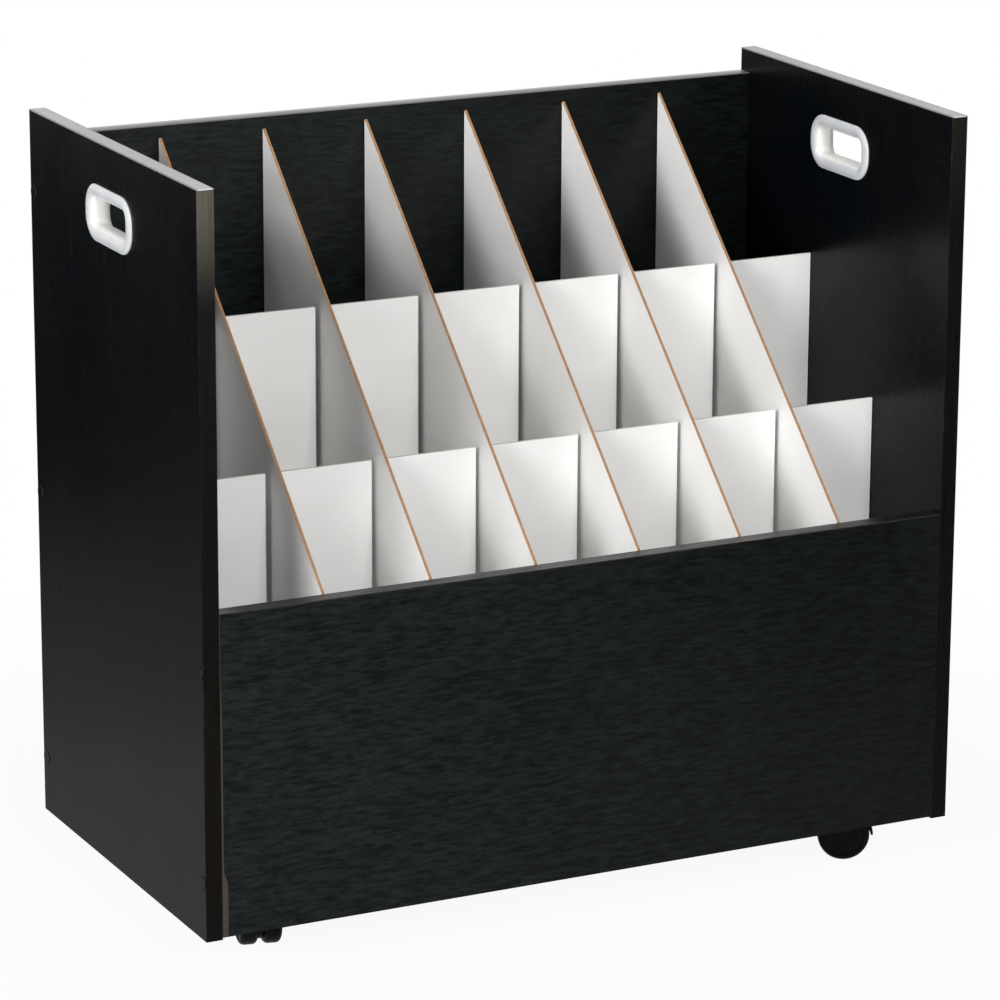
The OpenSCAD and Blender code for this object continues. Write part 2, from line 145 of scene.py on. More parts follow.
def new_material(name, sockets):
    """A material on one Principled shader. Returns it with its tree, shader and coordinates."""
    material = bpy.data.materials.new(name)
    material.use_nodes = True
    tree = material.node_tree
    shader = tree.nodes["Principled BSDF"]
    for socket, value in sockets.items():
        shader.inputs[socket].default_value = value
    return material, tree, shader, tree.nodes.new("ShaderNodeTexCoord").outputs


def finish(tree, shader, colour, roughness, height, distance):
    """Links a finish to a shader: colour, roughness, and the height of its relief in metres."""
    tree.links.new(colour, shader.inputs["Base Color"])
    tree.links.new(roughness, shader.inputs["Roughness"])
    bump = add(tree, "ShaderNodeBump", {"Height": height, "Distance": distance, "Strength": 1.0})
    tree.links.new(bump.outputs["Normal"], shader.inputs["Normal"])


def paint_over(tree, shader, mask, colour):
    """Mixes a colour over the one that a shader has, as far as a mask says."""
    beneath = shader.inputs["Base Color"].links[0].from_socket
    tree.links.new(mix(tree, mask, beneath, colour), shader.inputs["Base Color"])


# Printed wood grain: long streaks, and short dark pores between them
PORE_STRETCH = (1.6, 1.3, 1.3)
FIGURE_STRETCH = (0.35, 0.16, 0.16)
wood_grain, grain_in, grain_out = new_group(
    "wood_grain",
    [("Vector", "NodeSocketVector", (0, 0, 0)), ("Stretch", "NodeSocketVector", (1, 1, 1))],
    ["Streaks", "Pores", "Figure", "Relief"])
grain_space = scaled(wood_grain, grain_in.outputs["Vector"], grain_in.outputs["Stretch"])
streaks = noise(wood_grain, grain_space, 1.0, 2.0, 0.62, 0.3)
pores = noise(wood_grain, scaled(wood_grain, grain_space, PORE_STRETCH), 1.0, 1.0, 0.5, 0.2)
figure = noise(wood_grain, scaled(wood_grain, grain_space, FIGURE_STRETCH), 1.0, 3.0, 0.55, 0.8)
grooves = noise(wood_grain, grain_space, 1.0, 1.0, 0.4, 0.35)
for socket, value in (
        ("Streaks", between(wood_grain, streaks, 0.25, 0.75)),
        ("Pores", between(wood_grain, pores, 0.60, 0.74)),
        ("Figure", between(wood_grain, figure, 0.30, 0.70)),
        ("Relief", grooves)):
    wood_grain.links.new(value, grain_out.inputs[socket])

# Handling marks: cloudy wiping marks with finer specks in them
SPECKS_PER_CLOUD, SPECK_SHARE = 45.0, 0.3
handling_marks, marks_in, marks_out = new_group(
    "handling_marks",
    [("Vector", "NodeSocketVector", (0, 0, 0)), ("Low", "NodeSocketFloat", 0.3),
     ("High", "NodeSocketFloat", 0.4), ("Scale", "NodeSocketFloat", 6.0)],
    ["Roughness"])
clouds = noise(handling_marks, marks_in.outputs["Vector"], marks_in.outputs["Scale"], 4.0, 0.6, 0.6)
specks = noise(
    handling_marks, marks_in.outputs["Vector"],
    product(handling_marks, marks_in.outputs["Scale"], SPECKS_PER_CLOUD), 2.0)
blend = maths(
    handling_marks, "MULTIPLY_ADD", specks, SPECK_SHARE,
    product(handling_marks, clouds, 1 - SPECK_SHARE))
marks = between(handling_marks, blend, 0.35, 0.65)
span = maths(handling_marks, "SUBTRACT", marks_in.outputs["High"], marks_in.outputs["Low"])
handling_marks.links.new(
    maths(handling_marks, "MULTIPLY_ADD", marks, span, marks_in.outputs["Low"]),
    marks_out.inputs["Roughness"])

# Edge wear and sheen: finds outer corners by how far a rounded normal turns from the flat one. The materials
# paint these corners lighter, as wear, and on the bands, screw caps and grommets also as a painted
# highlight.
WEAR_RADIUS = 0.0007
edge_wear_and_sheen, wear_in, wear_out = new_group(
    "edge_wear_and_sheen",
    [("Vector", "NodeSocketVector", (0, 0, 0)), ("Scale", "NodeSocketFloat", 90.0)],
    ["Wear"])
rounded = add(edge_wear_and_sheen, "ShaderNodeBevel", {"Radius": WEAR_RADIUS}, samples=4)
flat = edge_wear_and_sheen.nodes.new("ShaderNodeNewGeometry")
turned = inverse(edge_wear_and_sheen, along(edge_wear_and_sheen, rounded.outputs[0], flat.outputs["Normal"]))
nicks = noise(edge_wear_and_sheen, wear_in.outputs["Vector"], wear_in.outputs["Scale"], 4.0, 0.65)
edge_wear_and_sheen.links.new(
    product(edge_wear_and_sheen, between(edge_wear_and_sheen, turned, 0.01, 0.12), between(edge_wear_and_sheen, nicks, 0.48, 0.66)),
    wear_out.inputs["Wear"])

# Chipboard: flat flakes pressed together with glue, and crumbs between them
FLAKES_PER_METRE = (300.0, 300.0, 620.0)
CRUMBS_PER_METRE = 1400.0
FLAKE_SHARE, CRUMB_SHARE = 0.7, 0.4
chipboard, chip_in, chip_out = new_group(
    "chipboard", [("Vector", "NodeSocketVector", (0, 0, 0))], ["Flakes", "Height"])
flakes = add(chipboard, "ShaderNodeTexVoronoi", {
    "Vector": scaled(chipboard, chip_in.outputs["Vector"], FLAKES_PER_METRE),
    "Scale": 1.0, "Randomness": 1.0,
})
crumbs = noise(chipboard, chip_in.outputs["Vector"], CRUMBS_PER_METRE, 3.0, 0.6)
chipboard.links.new(
    maths(chipboard, "MULTIPLY_ADD", flakes.outputs["Color"], FLAKE_SHARE,
          product(chipboard, crumbs, CRUMB_SHARE)),
    chip_out.inputs["Flakes"])
chipboard.links.new(
    maths(chipboard, "SUBTRACT", crumbs, flakes.outputs["Distance"]), chip_out.inputs["Height"])

CHIP_DARK = (0.16, 0.095, 0.050, 1)
CHIP_LIGHT = (0.46, 0.32, 0.19, 1)
CHIP_ROUGHNESS = 0.9
PORE_SHARE, PORE_ROUGHNESS = 0.75, 0.05
WORN_SHARE = 0.5


def board_material(name, skin_axis, stretch, tones, smooth, relief, gloss, cloudiness):
    """Melamine skins on the faces that look along skin_axis, raw chipboard on the others."""
    material, tree, shader, coordinates = new_material(name, {"IOR": 1.5, "Specular IOR Level": gloss})
    where = coordinates["Object"]
    deep, pale, wear_and_sheen_tone = tones
    grain = place(tree, wood_grain, Vector=where, Stretch=stretch)
    marks = place(tree, handling_marks, Vector=where, Low=smooth[0], High=smooth[1], Scale=5.0)
    edge_mask = place(tree, edge_wear_and_sheen, Vector=where)
    chips = place(tree, chipboard, Vector=where)
    skin = facing(tree, coordinates["Normal"], skin_axis)
    tone = product(tree, grain["Streaks"], 1.0 - cloudiness)
    tone = maths(tree, "MULTIPLY_ADD", grain["Figure"], cloudiness, tone)
    printed = mix(tree, tone, deep, pale)
    printed = mix(tree, product(tree, grain["Pores"], PORE_SHARE), printed, deep)
    printed = mix(tree, product(tree, edge_mask["Wear"], WORN_SHARE), printed, wear_and_sheen_tone)
    raw = mix(tree, chips["Flakes"], CHIP_DARK, CHIP_LIGHT)
    skin_rough = maths(tree, "MULTIPLY_ADD", grain["Pores"], PORE_ROUGHNESS, marks["Roughness"])
    smoother = maths(tree, "SUBTRACT", skin_rough, CHIP_ROUGHNESS)
    rough = maths(tree, "MULTIPLY_ADD", skin, smoother, CHIP_ROUGHNESS)
    pressed = product(tree, skin, grain["Relief"])
    height = maths(tree, "MULTIPLY_ADD", inverse(tree, skin), chips["Height"], pressed)
    finish(tree, shader, mix(tree, skin, raw, printed), rough, height, relief)
    return material, tree, shader, coordinates


WELD_REACH = 0.000001
SOFTEN_FROM = math.radians(40)


def dress(names, material, rounding=0.0):
    """Gives CAD nodes a material, and softens their corners by a rounding in metres."""
    for name in names:
        piece = nodes[name]
        for slot in piece.material_slots:
            slot.material = material
        if rounding:
            weld = piece.modifiers.new("join_faces", "WELD")
            weld.merge_threshold = WELD_REACH
            soften = piece.modifiers.new("soften", "BEVEL")
            soften.width = rounding
            soften.segments = 2
            soften.limit_method = "ANGLE"
            soften.angle_limit = SOFTEN_FROM
            soften.harden_normals = True


X, Y, Z = (1, 0, 0), (0, 1, 0), (0, 0, 1)
BOARD_ROUNDING = 0.0002
UPRIGHT_GRAIN = (120.0, 120.0, 7.0)
SIDE_TONES = ((0.0012, 0.0014, 0.0014, 1), (0.0021, 0.0025, 0.0025, 1), (0.030, 0.030, 0.028, 1))
SIDE_SMOOTH = (0.24, 0.30)
SIDE_RELIEF, SIDE_GLOSS, SIDE_CLOUDINESS = 0.000012, 0.11, 0.5
side_skin, side_tree, side_shader, side_place = board_material(
    "black_melamine_smooth", X, UPRIGHT_GRAIN, SIDE_TONES, SIDE_SMOOTH, SIDE_RELIEF, SIDE_GLOSS,
    SIDE_CLOUDINESS)

# The black ink is a little bluer in some places and browner in others
COOL_INK, WARM_INK = (0.0009, 0.0020, 0.0037, 1), (0.0038, 0.0030, 0.0015, 1)
INK_CLOUDS_PER_METRE, INK_SHARE = 5.0, 0.5
ink_cloud = noise(side_tree, side_place["Object"], INK_CLOUDS_PER_METRE, 2.0, 0.5)
ink = mix(side_tree, between(side_tree, ink_cloud, 0.38, 0.62), COOL_INK, WARM_INK)
inked = product(side_tree, facing(side_tree, side_place["Normal"], X), INK_SHARE)
paint_over(side_tree, side_shader, inked, ink)
dress(("left_side_panel", "right_side_panel"), side_skin, BOARD_ROUNDING)


# Front, back and bottom panels
# The same board with a wood grain printed across it, and pores pressed into the skin.
# A pale strip is painted down the front panel's left end where it meets the side panel. It is a painted
# highlight that stands in for the panel's raw end edge catching the light.

CROSS_GRAIN = (62.0, 320.0, 320.0)
CROSS_TONES = ((0.0006, 0.0011, 0.0011, 1), (0.0104, 0.0148, 0.0140, 1), (0.050, 0.048, 0.042, 1))
CROSS_SMOOTH, BOTTOM_SMOOTH = (0.28, 0.36), (0.34, 0.46)
CROSS_RELIEF, CROSS_GLOSS, CROSS_CLOUDINESS = 0.00003, 0.16, 0.12
cross_skin, cross_tree, cross_shader, cross_place = board_material(
    "black_melamine_grained", Y, CROSS_GRAIN, CROSS_TONES, CROSS_SMOOTH, CROSS_RELIEF, CROSS_GLOSS,
    CROSS_CLOUDINESS)
across, inward, upright = (along(cross_tree, cross_place["Object"], axis) for axis in (X, Y, Z))

# Painted shade: each board is painted darker towards its right end, where less light falls on it
PAINTED_SHADE_TONE, PAINTED_SHADE_SHARE = (0.0004, 0.0007, 0.0007, 1), 0.58
SHADE_REACH_X = 0.36
painted_shade_right = between(cross_tree, across, -SHADE_REACH_X, SHADE_REACH_X, 0.0, PAINTED_SHADE_SHARE)
paint_over(cross_tree, cross_shader, painted_shade_right, PAINTED_SHADE_TONE)

# Painted highlight: a pale strip down the front panel's left end stands in for its raw end edge catching the
# light. It widens low down.
LIT_END_TONE, LIT_END_SHARE = (0.053, 0.045, 0.037, 1), 0.85
LIT_END_FROM_Z, LIT_END_TO_Z = 0.30, 0.24
LIT_END_WIDE_Z, LIT_END_LOW_Z = 0.120, 0.100
LIT_END_THIN, LIT_END_WIDE = 0.0016, 0.0058
FACE_DEPTH = 0.002
left_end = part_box("front_panel")[0]
lit_end_width = between(cross_tree, upright, LIT_END_LOW_Z, LIT_END_WIDE_Z, LIT_END_WIDE, LIT_END_THIN)
from_end = maths(cross_tree, "SUBTRACT", across, left_end.x)
painted_lit_end = product(
    cross_tree,
    between(cross_tree, maths(cross_tree, "DIVIDE", from_end, lit_end_width), 0.75, 1.1, 1.0, 0.0),
    between(cross_tree, upright, LIT_END_FROM_Z, LIT_END_TO_Z),
    maths(cross_tree, "LESS_THAN", inward, left_end.y + FACE_DEPTH),
    LIT_END_SHARE)
paint_over(cross_tree, cross_shader, painted_lit_end, LIT_END_TONE)
dress(("front_panel", "back_panel"), cross_skin, BOARD_ROUNDING)

bottom_skin, *_ = board_material(
    "black_melamine_bottom", Z, CROSS_GRAIN, CROSS_TONES, BOTTOM_SMOOTH, CROSS_RELIEF, CROSS_GLOSS,
    CROSS_CLOUDINESS)
dress(("bottom_panel",), bottom_skin, BOARD_ROUNDING)


# Edge bands
# Plastic strips, 1 mm thick, glued on and trimmed to a bevel at both corners.
# The top edges are pale grey. The front edges and the front panel's top are near black.

# The corners of every band are painted lighter: partly wear, partly a painted highlight along them
STREAK_SHARE, WEAR_AND_HIGHLIGHT_SHARE = 0.6, 0.6
BAND_RELIEF = 0.00001


def band_material(name, tones, stretch, smooth, gloss):
    """A trimmed plastic strip: scraper marks along it, and corners painted lighter, partly as wear and
    partly as a painted highlight.
    """
    material, tree, shader, coordinates = new_material(name, {"IOR": 1.5, "Specular IOR Level": gloss})
    where = coordinates["Object"]
    base, streak, wear_and_sheen_tone = tones
    lines = place(tree, wood_grain, Vector=where, Stretch=stretch)
    marks = place(tree, handling_marks, Vector=where, Low=smooth[0], High=smooth[1], Scale=9.0)
    edge_mask = place(tree, edge_wear_and_sheen, Vector=where)
    tone = mix(tree, product(tree, lines["Streaks"], STREAK_SHARE), base, streak)
    tone = mix(tree, product(tree, edge_mask["Wear"], WEAR_AND_HIGHLIGHT_SHARE), tone, wear_and_sheen_tone)
    finish(tree, shader, tone, marks["Roughness"], lines["Relief"], BAND_RELIEF)
    return material, tree, shader, where


ALONG_Y = (500.0, 10.0, 500.0)
ALONG_X = (10.0, 500.0, 500.0)
ALONG_Z = (500.0, 500.0, 10.0)
PALE_TONES = ((0.55, 0.53, 0.53, 1), (0.46, 0.445, 0.445, 1), (0.66, 0.645, 0.635, 1))
BACK_TONES = ((0.50, 0.49, 0.49, 1), (0.42, 0.41, 0.41, 1), (0.60, 0.59, 0.58, 1))
DARK_TONES = ((0.0028, 0.0023, 0.0018, 1), (0.0070, 0.0059, 0.0047, 1), (0.050, 0.045, 0.038, 1))
PALE_SMOOTH, FRONT_SMOOTH, UPRIGHT_SMOOTH = (0.32, 0.42), (0.26, 0.34), (0.24, 0.32)
PALE_GLOSS, FRONT_GLOSS, UPRIGHT_GLOSS = 0.5, 0.36, 0.09
BACKING = (0.13, 0.125, 0.12, 1)

# Trimming has bared a darker backing along both corners of the side panels' top bands
BOARD_MIDDLE = 0.376
TRIM_FROM, TRIM_TO, TRIM_SHARE = 0.0060, 0.0074, 0.8


def from_board_middle(tree, where):
    """Distance from the plane in the middle of the nearer side panel."""
    from_centre = maths(tree, "ABSOLUTE", along(tree, where, X))
    return maths(tree, "ABSOLUTE", maths(tree, "SUBTRACT", from_centre, BOARD_MIDDLE))


pale_sides, tree, shader, where = band_material(
    "pale_band_sides", PALE_TONES, ALONG_Y, PALE_SMOOTH, PALE_GLOSS)
trimmed = between(tree, from_board_middle(tree, where), TRIM_FROM, TRIM_TO, 0.0, TRIM_SHARE)
paint_over(tree, shader, trimmed, BACKING)
dress(("left_top_band", "right_top_band"), pale_sides)

# The back panel's top band is bared along half its width
BARE_FROM_Y, BARE_TO_Y = 0.1875, 0.1935
pale_back, tree, shader, where = band_material(
    "pale_band_back", BACK_TONES, ALONG_X, PALE_SMOOTH, PALE_GLOSS)
bared = between(tree, along(tree, where, Y), BARE_FROM_Y, BARE_TO_Y, 1.0, 0.0)
paint_over(tree, shader, bared, BACKING)
dress(("back_panel_band",), pale_back)

# The front panel's top edge has lost its gloss near its left end, and in ragged streaks
DULL_FROM_X, DULL_TO_X, DULL_FADE = -0.352, -0.285, 0.012
DULL_ROUGHER, RAGGED_ROUGHER = 0.30, 0.12
RAGGED_STREAKS = (18.0, 260.0, 260.0)
dark_front, tree, shader, where = band_material(
    "dark_band_front", DARK_TONES, ALONG_X, FRONT_SMOOTH, FRONT_GLOSS)
along_band = along(tree, where, X)
dull = product(
    tree,
    between(tree, along_band, DULL_FROM_X - DULL_FADE, DULL_FROM_X + DULL_FADE),
    between(tree, along_band, DULL_TO_X - DULL_FADE, DULL_TO_X + DULL_FADE, 1.0, 0.0))
ragged = between(
    tree, noise(tree, scaled(tree, where, RAGGED_STREAKS), 1.0, 3.0), 0.40, 0.66, 0.0, RAGGED_ROUGHER)
smooth = shader.inputs["Roughness"].links[0].from_socket
rough = maths(tree, "ADD", maths(tree, "MULTIPLY_ADD", dull, DULL_ROUGHER, smooth), ragged)
tree.links.new(rough, shader.inputs["Roughness"])
dress(("front_panel_band",), dark_front)

# The front edges are painted a lighter brown-grey at the top, the left one most: a painted sheen that stands
# in for the lamps' reflection on their upper ends
PAINTED_SHEEN_TONE = (0.086, 0.078, 0.064, 1)
SHEEN_FROM_Z, SHEEN_TO_Z = 0.620, 0.735
MIDDLE_FADE = 0.1
RIGHT_SHARE = 0.07
dark_upright, tree, shader, where = band_material(
    "dark_band_upright", DARK_TONES, ALONG_Z, UPRIGHT_SMOOTH, UPRIGHT_GLOSS)
painted_sheen = product(
    tree,
    between(tree, along(tree, where, Z), SHEEN_FROM_Z, SHEEN_TO_Z),
    between(tree, along(tree, where, X), -MIDDLE_FADE, MIDDLE_FADE, 1.0, RIGHT_SHARE),
    between(tree, along(tree, where, Y), -MIDDLE_FADE, MIDDLE_FADE, 1.0, 0.0),
    between(tree, noise(tree, scaled(tree, where, ALONG_Z), 0.4, 3.0), 0.25, 0.6, 0.7, 1.0))
paint_over(tree, shader, painted_sheen, PAINTED_SHEEN_TONE)
dress(("left_front_band", "right_front_band", "left_rear_band", "right_rear_band"), dark_upright)


# Dividers
# Hardboard, 3 mm thick, painted white on both faces and sawn brown at its edges.
# Six sloping boards and two cross boards are slotted half and half into each other.

WHITE_PAINT = ((0.790, 0.783, 0.768, 1), (0.825, 0.819, 0.806, 1))
PAINT_CLOUDS_PER_METRE, MOTTLE_PER_METRE, FIBRES_PER_METRE = 9.0, 260.0, 1500.0
SPECK_TONE, SPECK_PAINT = (0.62, 0.60, 0.56, 1), 0.10
SAWN_ROUGHNESS, PEEL, HARDBOARD_RELIEF = 0.9, 0.25, 0.00012


def hardboard_material(name, face_axis, edge_tones):
    """White paint on the faces that look along face_axis, and fibres at the edges."""
    material, tree, shader, coordinates = new_material(name, {"IOR": 1.46, "Roughness": 0.5})
    where = coordinates["Object"]
    painted = facing(tree, coordinates["Normal"], face_axis)
    cloud = noise(tree, where, PAINT_CLOUDS_PER_METRE, 4.0, 0.55)
    fibres = noise(tree, where, FIBRES_PER_METRE, 4.0, 0.7)
    mottle = noise(tree, where, MOTTLE_PER_METRE, 3.0, 0.6)
    marks = place(tree, handling_marks, Vector=where, Low=0.42, High=0.56, Scale=7.0)
    white = mix(tree, between(tree, cloud, 0.35, 0.65), *WHITE_PAINT)
    white = mix(tree, between(tree, mottle, 0.66, 0.80, 0.0, SPECK_PAINT), white, SPECK_TONE)
    edge = mix(tree, between(tree, fibres, 0.30, 0.70), edge_tones[0], edge_tones[1])
    edge = mix(tree, between(tree, mottle, 0.40, 0.62, 0.0, 0.35), edge, edge_tones[2])
    smoother = maths(tree, "SUBTRACT", marks["Roughness"], SAWN_ROUGHNESS)
    rough = maths(tree, "MULTIPLY_ADD", painted, smoother, SAWN_ROUGHNESS)
    peel = product(tree, mottle, painted, PEEL)
    height = maths(tree, "MULTIPLY_ADD", inverse(tree, painted), fibres, peel)
    finish(tree, shader, mix(tree, painted, edge, white), rough, height, HARDBOARD_RELIEF)
    return material


SLOPING = [f"divider_{number}" for number in range(1, 7)]
CROSS = ["cross_divider_rear", "cross_divider_front"]
SHEET_ROUNDING = 0.00025
SAWN = ((0.24, 0.12, 0.050, 1), (0.45, 0.255, 0.125, 1), (0.52, 0.33, 0.19, 1))
PAINTED_OVER = ((0.58, 0.57, 0.54, 1), (0.72, 0.71, 0.69, 1), (0.76, 0.75, 0.73, 1))
dress(SLOPING, hardboard_material("hardboard_sloping", X, SAWN), SHEET_ROUNDING)
dress(CROSS, hardboard_material("hardboard_cross", Y, PAINTED_OVER), SHEET_ROUNDING)


# Hand-hole grommets
# White moulded rings that snap together from both faces of each side panel.
# Each half has a flange that curves into its mouth, and a sleeve that meets the other.

OPENING_W, OPENING_H, OPENING_R = 0.078, 0.0255, 0.0055
OUTER_W, OUTER_H, OUTER_R = 0.107, 0.0521, 0.0235
FLANGE_W = (OUTER_H - OPENING_H) / 2
CROWN_H, CROWN_CURVE = 0.003, 2.2
EDGE_T, EDGE_START = 0.0016, 75
MOUTH_W, MOUTH_DEPTH = 0.0075, 0.006
SLEEVE_WALL, SLEEVE_DEPTH = 0.003, 0.008
SHARP_CORNER = 35
MOUTH_STEPS, EDGE_STEPS, CROWN_STEPS, CORNER_STEPS = 18, 8, 8, 14


def arc(centre, radius, start, end, steps):
    """Points along an arc, from one angle to another in degrees."""
    turns = [math.radians(start + (end - start) * k / steps) for k in range(steps + 1)]
    return [(centre[0] + radius * math.cos(t), centre[1] + radius * math.sin(t)) for t in turns]


def grommet_section():
    """Outline of a half, in distance out from its opening and height over the panel."""
    mouth = [(MOUTH_W * (1 + x), (CROWN_H + MOUTH_DEPTH) * y - MOUTH_DEPTH)
             for x, y in arc((0, 0), 1, 180, 90, MOUTH_STEPS)]
    edge = arc((FLANGE_W - EDGE_T / 2, EDGE_T / 2), EDGE_T / 2, EDGE_START, 0, EDGE_STEPS)
    crown = []
    for k in range(1, CROWN_STEPS):
        share = k / CROWN_STEPS
        reach = mouth[-1][0] + (edge[0][0] - mouth[-1][0]) * share
        height = mouth[-1][1] + (edge[0][1] - mouth[-1][1]) * share ** CROWN_CURVE
        crown.append((reach, height))
    return [(0.0, -SLEEVE_DEPTH), *mouth, *crown, *edge,
            (FLANGE_W, 0.0), (SLEEVE_WALL, 0.0), (SLEEVE_WALL, -SLEEVE_DEPTH)]


def rounded_path(w, h, radius):
    """Points round a rounded rectangle about its middle."""
    path = []
    for corner, (x, y) in enumerate(((1, 1), (-1, 1), (-1, -1), (1, -1))):
        middle = (x * (w / 2 - radius), y * (h / 2 - radius))
        path += arc(middle, radius, 90 * corner, 90 * (corner + 1), CORNER_STEPS)
    return path


def mesh_object(name, mesh_bm, sharp_degrees):
    """An object from a bmesh, smooth except at corners sharper than the angle given."""
    mesh = bpy.data.meshes.new(name)
    bmesh.ops.recalc_face_normals(mesh_bm, faces=mesh_bm.faces)
    mesh_bm.to_mesh(mesh)
    mesh_bm.free()
    mesh.shade_smooth()
    mesh.set_sharp_from_angle(angle=math.radians(sharp_degrees))
    piece = bpy.data.objects.new(name, mesh)
    bpy.context.scene.collection.objects.link(piece)
    return piece


def grid(mesh_bm, rings):
    """Joins rings of vertices into a closed surface, the last ring to the first."""
    for ring, following in zip(rings, rings[1:] + rings[:1]):
        for k in range(len(ring)):
            mesh_bm.faces.new((ring[k - 1], ring[k], following[k], following[k - 1]))


def grommet(name, outward):
    """A grommet half where the CAD node is, its crown facing outward along X."""
    low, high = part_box(name)
    face_x = (low.x + CROWN_H) if outward < 0 else (high.x - CROWN_H)
    centre = (low + high) / 2
    made = bmesh.new()
    rings = []
    opening = rounded_path(OPENING_W, OPENING_H, OPENING_R)
    rim = rounded_path(OUTER_W, OUTER_H, OUTER_R)
    for (y, z), (rim_y, rim_z) in zip(opening, rim):
        ring = []
        for reach, height in grommet_section():
            share = reach / FLANGE_W
            ring.append(made.verts.new((
                face_x + outward * height,
                centre.y + y + (rim_y - y) * share, centre.z + z + (rim_z - z) * share)))
        rings.append(ring)
    grid(made, rings)
    return mesh_object(f"{name}_moulding", made, SHARP_CORNER)


# The plastic is a cool white on the flanges. The mouth is painted a brighter, warmer white, as painted light
# for the light that comes through it.
FLANGE_WHITE = ((0.53, 0.545, 0.57, 1), (0.575, 0.59, 0.61, 1))
MOUTH_PAINTED_LIGHT = (0.87, 0.85, 0.825, 1)
# Painted highlight: the grommets' edges are painted a lighter white, standing in for the light their rims
# catch
RIM_HIGHLIGHT_WHITE, RIM_HIGHLIGHT_SHARE = (0.64, 0.635, 0.62, 1), 0.35
MOUTH_FROM, MOUTH_TO = 0.0070, 0.0105
FLOW_PER_METRE, PITTING_PER_METRE, PITTING_RELIEF = 38.0, 2600.0, 0.00001
grommet_white, tree, shader, coordinates = new_material(
    "grommet_plastic", {"IOR": 1.5, "Subsurface Weight": 0.12, "Subsurface Scale": 0.003})
where = coordinates["Object"]
flow = noise(tree, where, FLOW_PER_METRE, 3.0, 0.5, 0.4)
pitting = noise(tree, where, PITTING_PER_METRE, 2.0)
marks = place(tree, handling_marks, Vector=where, Low=0.26, High=0.38, Scale=24.0)
edge_mask = place(tree, edge_wear_and_sheen, Vector=where, Scale=220.0)
moulded = mix(tree, between(tree, flow, 0.3, 0.7), *FLANGE_WHITE)
painted_mouth_light = between(tree, from_board_middle(tree, where), MOUTH_FROM, MOUTH_TO, 1.0, 0.0)
moulded = mix(tree, painted_mouth_light, moulded, MOUTH_PAINTED_LIGHT)
moulded = mix(tree, product(tree, edge_mask["Wear"], RIM_HIGHLIGHT_SHARE), moulded, RIM_HIGHLIGHT_WHITE)
finish(tree, shader, moulded, marks["Roughness"], pitting, PITTING_RELIEF)

# Which way along X each half faces
GROMMETS = {
    "left_grommet_outer": -1, "left_grommet_inner": 1,
    "right_grommet_outer": 1, "right_grommet_inner": -1,
}
for name, outward in GROMMETS.items():
    piece = grommet(name, outward)
    piece.data.materials.append(grommet_white)
    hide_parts(name)
    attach(piece, "cabinet")


# Screws, caps and dowels
# Panel screws go through the side panels into the front and back panels, under black caps.
# Beech dowels carry the bottom panel. Neither shows once the cabinet stands together.

CAP_ROUNDING = 0.0002
CORNER_SHARE = 0.6
GRIT_PER_METRE, MOULD_FLOW_PER_METRE = 2200.0, 60.0


def plastic_material(name, base, bright, smooth, relief, wear_and_sheen_tone, gloss):
    """Moulded plastic with a fine texture and lighter corners: wear on the hoods and wheels, a painted sheen
    on the screw caps.
    """
    material, tree, shader, coordinates = new_material(name, {"IOR": 1.5, "Specular IOR Level": gloss})
    where = coordinates["Object"]
    grit = noise(tree, where, GRIT_PER_METRE, 3.0, 0.6)
    flow = noise(tree, where, MOULD_FLOW_PER_METRE, 3.0)
    marks = place(tree, handling_marks, Vector=where, Low=smooth[0], High=smooth[1], Scale=40.0)
    edge_mask = place(tree, edge_wear_and_sheen, Vector=where, Scale=260.0)
    tone = mix(tree, between(tree, flow, 0.3, 0.7), base, bright)
    tone = mix(tree, product(tree, edge_mask["Wear"], CORNER_SHARE), tone, wear_and_sheen_tone)
    finish(tree, shader, tone, marks["Roughness"], grit, relief)
    return material, tree, shader, coordinates


SCRATCH_TONE, SCRATCH_SHARE, SCRATCH_RELIEF = (0.28, 0.28, 0.29, 1), 0.25, 0.000006
CRYSTALS_PER_METRE, PATCH_SHARE = 420.0, 0.5


def steel_material(name, base, bright, smooth, scratch):
    """Bare or plated steel: crystal patches and fine scratches."""
    material, tree, shader, coordinates = new_material(name, {"Metallic": 1.0})
    where = coordinates["Object"]
    patches = add(tree, "ShaderNodeTexVoronoi", {"Vector": where, "Scale": CRYSTALS_PER_METRE})
    lines = place(tree, wood_grain, Vector=where, Stretch=scratch)
    marks = place(tree, handling_marks, Vector=where, Low=smooth[0], High=smooth[1], Scale=60.0)
    tone = mix(tree, product(tree, patches.outputs["Color"], PATCH_SHARE), base, bright)
    tone = mix(tree, product(tree, lines["Pores"], SCRATCH_SHARE), tone, SCRATCH_TONE)
    finish(tree, shader, tone, marks["Roughness"], lines["Relief"], SCRATCH_RELIEF)
    return material


# The caps match the side panels. Their rims are painted light brown and their corners lighter, partly the
# caps' own colour and partly a painted sheen standing in for the crescent of light on the rims.
CAP_CORNER_SHEEN, CAP_RIM_TONE_AND_SHEEN = (0.070, 0.062, 0.052, 1), (0.040, 0.034, 0.027, 1)
CAP_RELIEF = 0.000002
cap_black, tree, shader, coordinates = plastic_material(
    "screw_cap_plastic", *SIDE_TONES[:2], SIDE_SMOOTH, CAP_RELIEF, CAP_CORNER_SHEEN, SIDE_GLOSS)
paint_over(tree, shader, inverse(tree, facing(tree, coordinates["Normal"], X)), CAP_RIM_TONE_AND_SHEEN)
dress(("screw_caps",), cap_black, CAP_ROUNDING)

ZINC_TONES, ZINC_SMOOTH = ((0.50, 0.51, 0.53, 1), (0.66, 0.67, 0.68, 1)), (0.28, 0.42)
ZINC_SCRATCHES = (500.0, 500.0, 60.0)
zinc = steel_material("zinc_plated_steel", *ZINC_TONES, ZINC_SMOOTH, ZINC_SCRATCHES)
dress(("panel_screws",), zinc)

